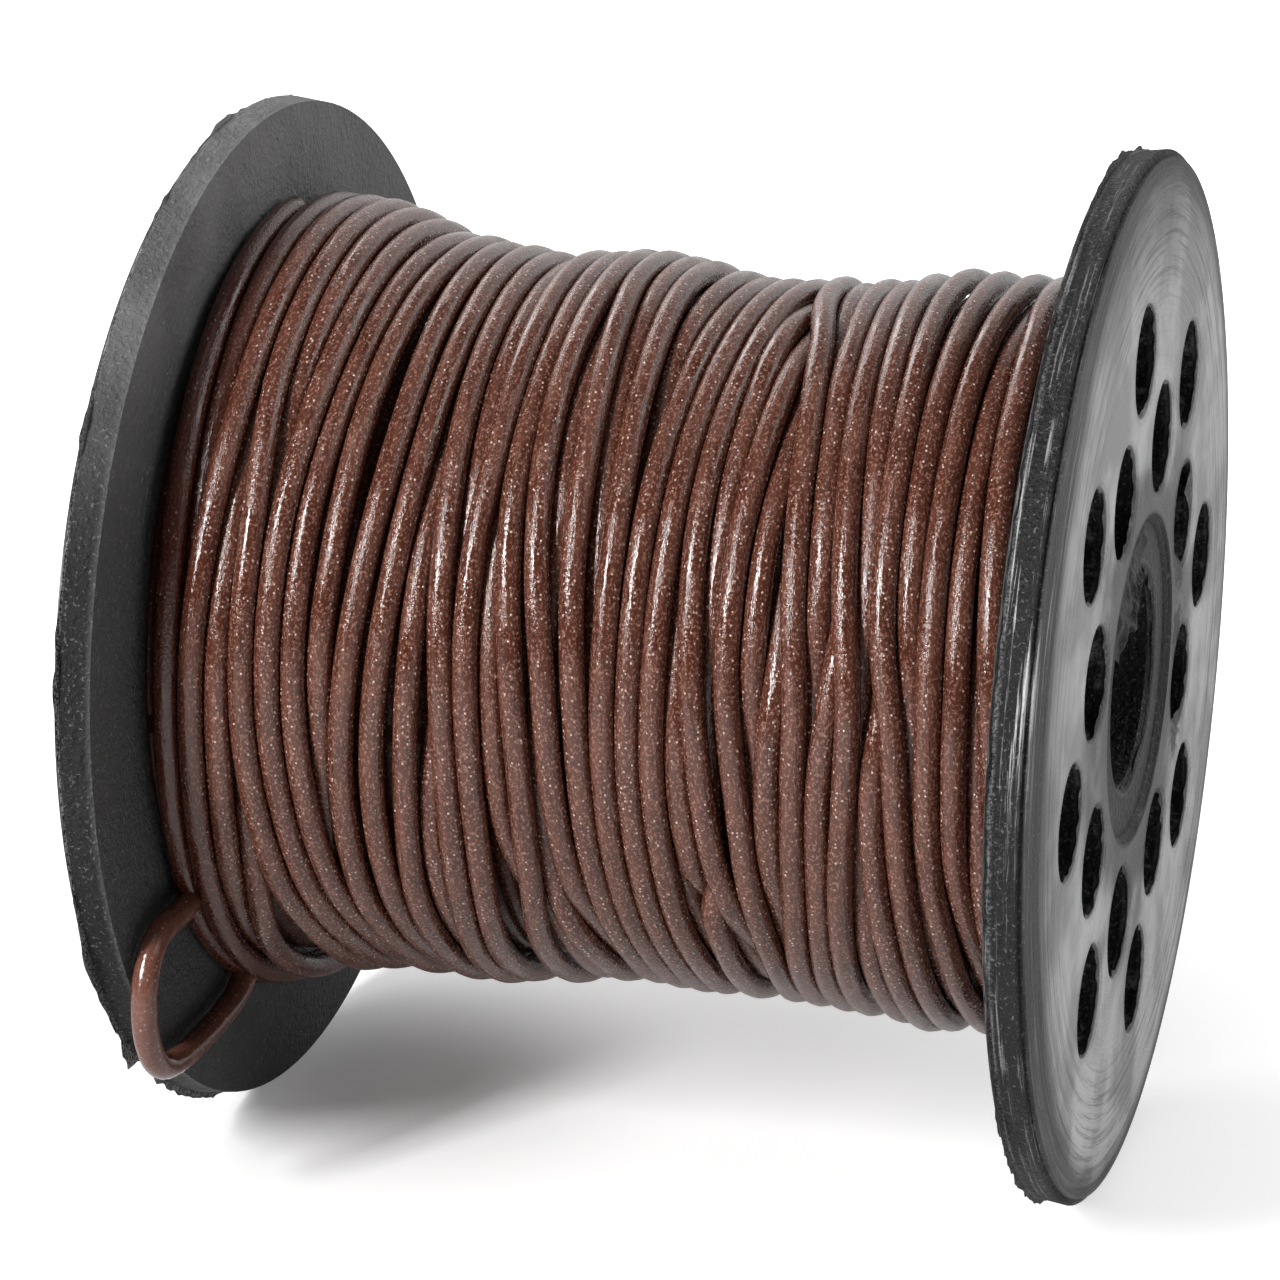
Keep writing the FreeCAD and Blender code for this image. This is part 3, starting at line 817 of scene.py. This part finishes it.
# %% Plastic material
def plastic_finish(name, dust):
    """Black moulded plastic, with painted light, shade and highlights. dust is how strongly its faces are
    greyed by dust and a painted sheen.
    """
    plastic = Finish(bpy.data.materials.new(name))
    at = plastic.in_mm()
    px, py, pz = (plastic.part(at, axis) for axis in range(3))
    radius = (py * py + pz * pz) ** 0.5
    arcs = {0: (radius + abs(px)) * 2.2, 1: py * 0.07, 2: pz * 0.07}
    circles = plastic.noise(plastic.node("ShaderNodeCombineXYZ", {}, arcs), 1.0, 4.0, 0.75)
    pebble = plastic.noise(at, 1.6, 3.0, 0.6)
    skin = plastic.noise(at, 5.0, 3.0, 0.65)
    patch = plastic.noise(at, 0.12, 3.0, 0.55)
    grit = plastic.noise(at, 3.4, 2.0, 0.6)
    cloud = plastic.ease(patch, 0.36, 0.64)
    # Where on the reel: outer faces, rims, right half, inner sides of the flanges, border of a face.
    face = plastic.ease(abs(px), 35.3, 35.65)
    land = plastic.ease(radius, 38.5, 38.9)
    right = plastic.ease(px, 0.0, 1.0)
    inner_side_light = plastic.ease(abs(px), 33.4, 32.7)
    edge = plastic.ease(radius + plastic.ease(py, -8.0, -34.0) * 2.6, 36.2, 39.4)
    # Dust on the faces, with a painted sheen in it.
    outer = plastic.ease(radius, 26.0, 33.0)
    hub = plastic.ease(radius + (patch - 0.5) * 14.0, 22.0, 15.0)
    blots = 0.0
    for y, z, size in DARK_BLOTS:
        off = ((py - y) * (py - y) + (pz - z) * (pz - z)) ** 0.5 + (pebble - 0.5) * 5.0
        blots = plastic.ease(off, size, size * 0.45) * right + blots
    lines = plastic.ease(circles, 0.38, 0.54)
    upper = plastic.ease(pz, 28.0, 36.0)
    front_side = plastic.ease(py, -38.0, -22.0, 0.5, 1.0)
    # Painted shade in the groove round the hub, which keeps dust and sheen out of it.
    shaded_groove = plastic.ease(abs(radius - 12.2), 0.9, 0.35) * plastic.ease(abs(px), 34.5, 35.2)
    dust_and_sheen = face * (1.0 - outer * (1.0 - lines) * 0.42) * (1.0 - edge * 0.8) * (1.0 - hub * 0.72)
    dust_and_sheen = dust_and_sheen * (0.55 + cloud * 0.45) * (1.0 - upper * 0.5) * (1.0 - blots * 0.75) * dust
    # Painted shade in the pockets and the bore, with a little dust settled in them.
    shaded_pits = plastic.ease(abs(px), 32.9, 33.3) * plastic.ease(abs(px), 35.97, 35.85)
    shaded_pits = shaded_pits * plastic.ease(radius, 34.0, 32.0) * plastic.ease(radius, 12.2, 12.8)
    shaded_bore = plastic.ease(radius, 8.7, 8.35)
    settled = shaded_pits * plastic.ease(plastic.noise(at, 0.55, 4.0, 0.7), 0.50, 0.68) * 0.45
    # Painted highlights and rubbed streaks on the rims, and painted light on the left flange's top.
    # A painted highlight along both partings of the mould.
    seam_highlight = plastic.ease(abs(px + 35.25), 0.20, 0.05) + plastic.ease(abs(px - 33.2), 0.35, 0.05) * 0.4
    seam_highlight = seam_highlight * plastic.ease(skin, 0.42, 0.60) * land
    # Rubbed streaks, with a painted highlight band strongest from 11 to 21 mm above the axis.
    wear_and_glint = 0.32 + 0.6 * plastic.ease(abs(pz - 16.0), 15.0, 5.0)
    wear_and_highlight = (face * edge * 0.5 + land * (1.0 - face) * right) * wear_and_glint * plastic.ease(circles, 0.54, 0.66)
    # Painted light on the upper part of the left flange, off its outer face.
    painted_top_light = plastic.ease(pz, 12.0, 40.0) * (1.0 - right) * (1.0 - face)
    # The colours, one over the other.
    # Painted light: the inner sides of the flanges are a lighter grey than the mould's black.
    shade = plastic.tint(inner_side_light, MOULD_BLACK, PAINTED_INNER_LIGHT)
    shade = plastic.tint(painted_top_light * (0.5 + cloud * 0.5) * 0.8, shade, TOP_LIGHT_GREY)
    # Dust with a painted sheen on the outer faces.
    shade = plastic.tint(dust_and_sheen * front_side * (1.0 - shaded_groove * 0.75), shade, DUST_AND_SHEEN_GREY)
    # Wear and a painted highlight on the rims.
    shade = plastic.tint(wear_and_highlight, shade, RUBBED_AND_HIGHLIGHT_GREY)
    # Painted shade, nearly black, in the pockets and the bore.
    shade = plastic.tint(shaded_pits * 0.8 + shaded_bore * 0.8, shade, PIT_SHADE)
    # Settled dust in the pockets, and the painted highlight along the partings.
    shade = plastic.tint(settled + seam_highlight * 0.8, shade, SETTLED_DUST_AND_HIGHLIGHT_GREY)
    shade = plastic.tint(plastic.ease(grit, 0.58, 0.72) * (0.30 - face * 0.1), shade, GRIT_GREY)
    height = pebble * (1.4 - face) + grit * 0.6 + circles * face * 0.8
    shader = plastic.node("ShaderNodeBsdfPrincipled", {}, {
        "Base Color": shade,
        "Roughness": plastic.ease(patch, 0.3, 0.7, 0.55, 0.72),
        "Normal": plastic.bump(height, 0.0003),
        "IOR": PLASTIC_IOR,
    })
    return plastic.surface(shader)


dusty_sheened_plastic = plastic_finish("recycled_plastic", 1.0)
torn_plastic = plastic_finish("torn_plastic", 0.16)
for node in ("left_flange", "right_flange", "barrel"):
    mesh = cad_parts[node].data
    mesh.materials.clear()
    mesh.materials.append(dusty_sheened_plastic)
for piece in (right_fin, left_fin, right_lips, left_lips):
    piece.data.materials.append(dusty_sheened_plastic)
for piece in flakes:
    piece.data.materials.append(torn_plastic)
print("plastic finishes:", [finish.name for finish in (dusty_sheened_plastic, torn_plastic)])

# %% [markdown]
# ## Floor and air
# The reel stands in plain white surroundings. The world is white to the camera, but dim as a light,
# and reflections see it white only straight behind the reel, because a shiny cord under a white sky
# turns grey. The floor is matt, so it keeps the reel's soft shadow. It also glows to the camera, and
# faintly in reflections, less and less towards the reel's foot, so that it runs into the white
# background without putting more light on the reel. Where the glow is weakest, near the reel's left
# foot, it paints a darker shadow over the real one.

# %% Floor and air
FOOT_SHADOW_CENTRE = (-0.024, -0.302, 0.0)
GLOW_IN_REFLECTIONS = 0.15
MIRRORED_DROP = 0.92
AIR_AS_LIGHT = 0.17
bpy.ops.mesh.primitive_circle_add(vertices=96, radius=1.6, fill_type="NGON", location=(0, 0.3, FLOOR_Z))
floor = bpy.context.object
floor.name = "floor"

paper = Finish(bpy.data.materials.new("white_paper"))
paths = [paper.node("ShaderNodeLightPath", {}, {}, name) for name in ("Is Camera Ray", "Is Glossy Ray")]
matt = paper.node("ShaderNodeBsdfDiffuse", {}, {"Color": (0.8, 0.8, 0.8, 1)})
where = paper.node("ShaderNodeTexCoord", {}, {}, "Object")
from_foot = paper.node("ShaderNodeVectorMath", {"operation": "DISTANCE"}, {0: where, 1: FOOT_SHADOW_CENTRE}, 1)
# The glow is weakest at the reel's left foot, which paints a darker shadow there.
glow_with_foot_shadow = paper.ease(from_foot, 0.004, 0.028, 0.12, 0.42)
far_glow = paper.ease(from_foot, 0.03, 0.16, 0.0, 0.62)
glow_strength = (paths[0] + paths[1] * GLOW_IN_REFLECTIONS) * (glow_with_foot_shadow + far_glow)
glow = paper.node("ShaderNodeEmission", {}, {"Color": (1, 1, 1, 1), "Strength": glow_strength})
floor.data.materials.append(paper.surface(paper.node("ShaderNodeAddShader", {}, {0: matt, 1: glow})))

air = Finish(bpy.data.worlds.new("studio_air"))
seen = [air.node("ShaderNodeLightPath", {}, {}, name)
        for name in ("Is Camera Ray", "Is Transmission Ray", "Is Glossy Ray")]
direct = air.node("ShaderNodeMath", {"operation": "MAXIMUM"}, {0: seen[0], 1: seen[1]})
towards = air.node("ShaderNodeTexCoord", {}, {}, "Generated")
not_behind = air.ease(air.part(towards, 1), 0.9, 0.3)
mirrored = 1.0 - not_behind * MIRRORED_DROP
strength = direct + (1.0 - direct) * (seen[2] * mirrored + (1.0 - seen[2]) * AIR_AS_LIGHT)
background = air.node("ShaderNodeBackground", {}, {"Color": (1, 1, 1, 1), "Strength": strength})
air.node("ShaderNodeOutputWorld", {}, {"Surface": background})
bpy.context.scene.world = air.owner
print("floor at", round(floor.location.z / MM, 2), "mm, world:", air.owner.name)

# %% [markdown]
# ## Lamps
# The highlights on a shiny cord are pictures of the lamps, and a point lamp would leave only a dot on
# each turn, so all of them are rectangles. A tall narrow one in front on the left draws a thin
# highlight down each turn. A large one on the right lights the right flange's outer face evenly. Two
# weaker ones, behind on the left and overhead, lift the far side and the tops.

# %% Lamps
LAMP_DISTANCE = 0.9


def lamp(name, azimuth, elevation, width, height, power):
    """A soft lamp that faces the reel. Azimuth 0 is in front of it, and positive is to the right."""
    a, e = math.radians(azimuth), math.radians(elevation)
    out = Vector((math.sin(a) * math.cos(e), -math.cos(a) * math.cos(e), math.sin(e)))
    data = bpy.data.lights.new(name, "AREA")
    data.shape, data.size, data.size_y, data.energy = "RECTANGLE", width, height, power
    made = bpy.data.objects.new(name, data)
    made.location = out * LAMP_DISTANCE
    made.rotation_mode = "QUATERNION"
    made.rotation_quaternion = (-out).to_track_quat("-Z", "Y")
    bpy.context.scene.collection.objects.link(made)
    return made


lamp("front_softbox", -30, 31, width=0.13, height=0.38, power=10.0)
lamp("back_softbox", -132, 34, width=0.5, height=0.35, power=2.2)
lamp("top_softbox", -40, 78, width=0.6, height=0.6, power=0.35)
lamp("side_softbox", 108, 25, width=0.8, height=0.8, power=4.3)
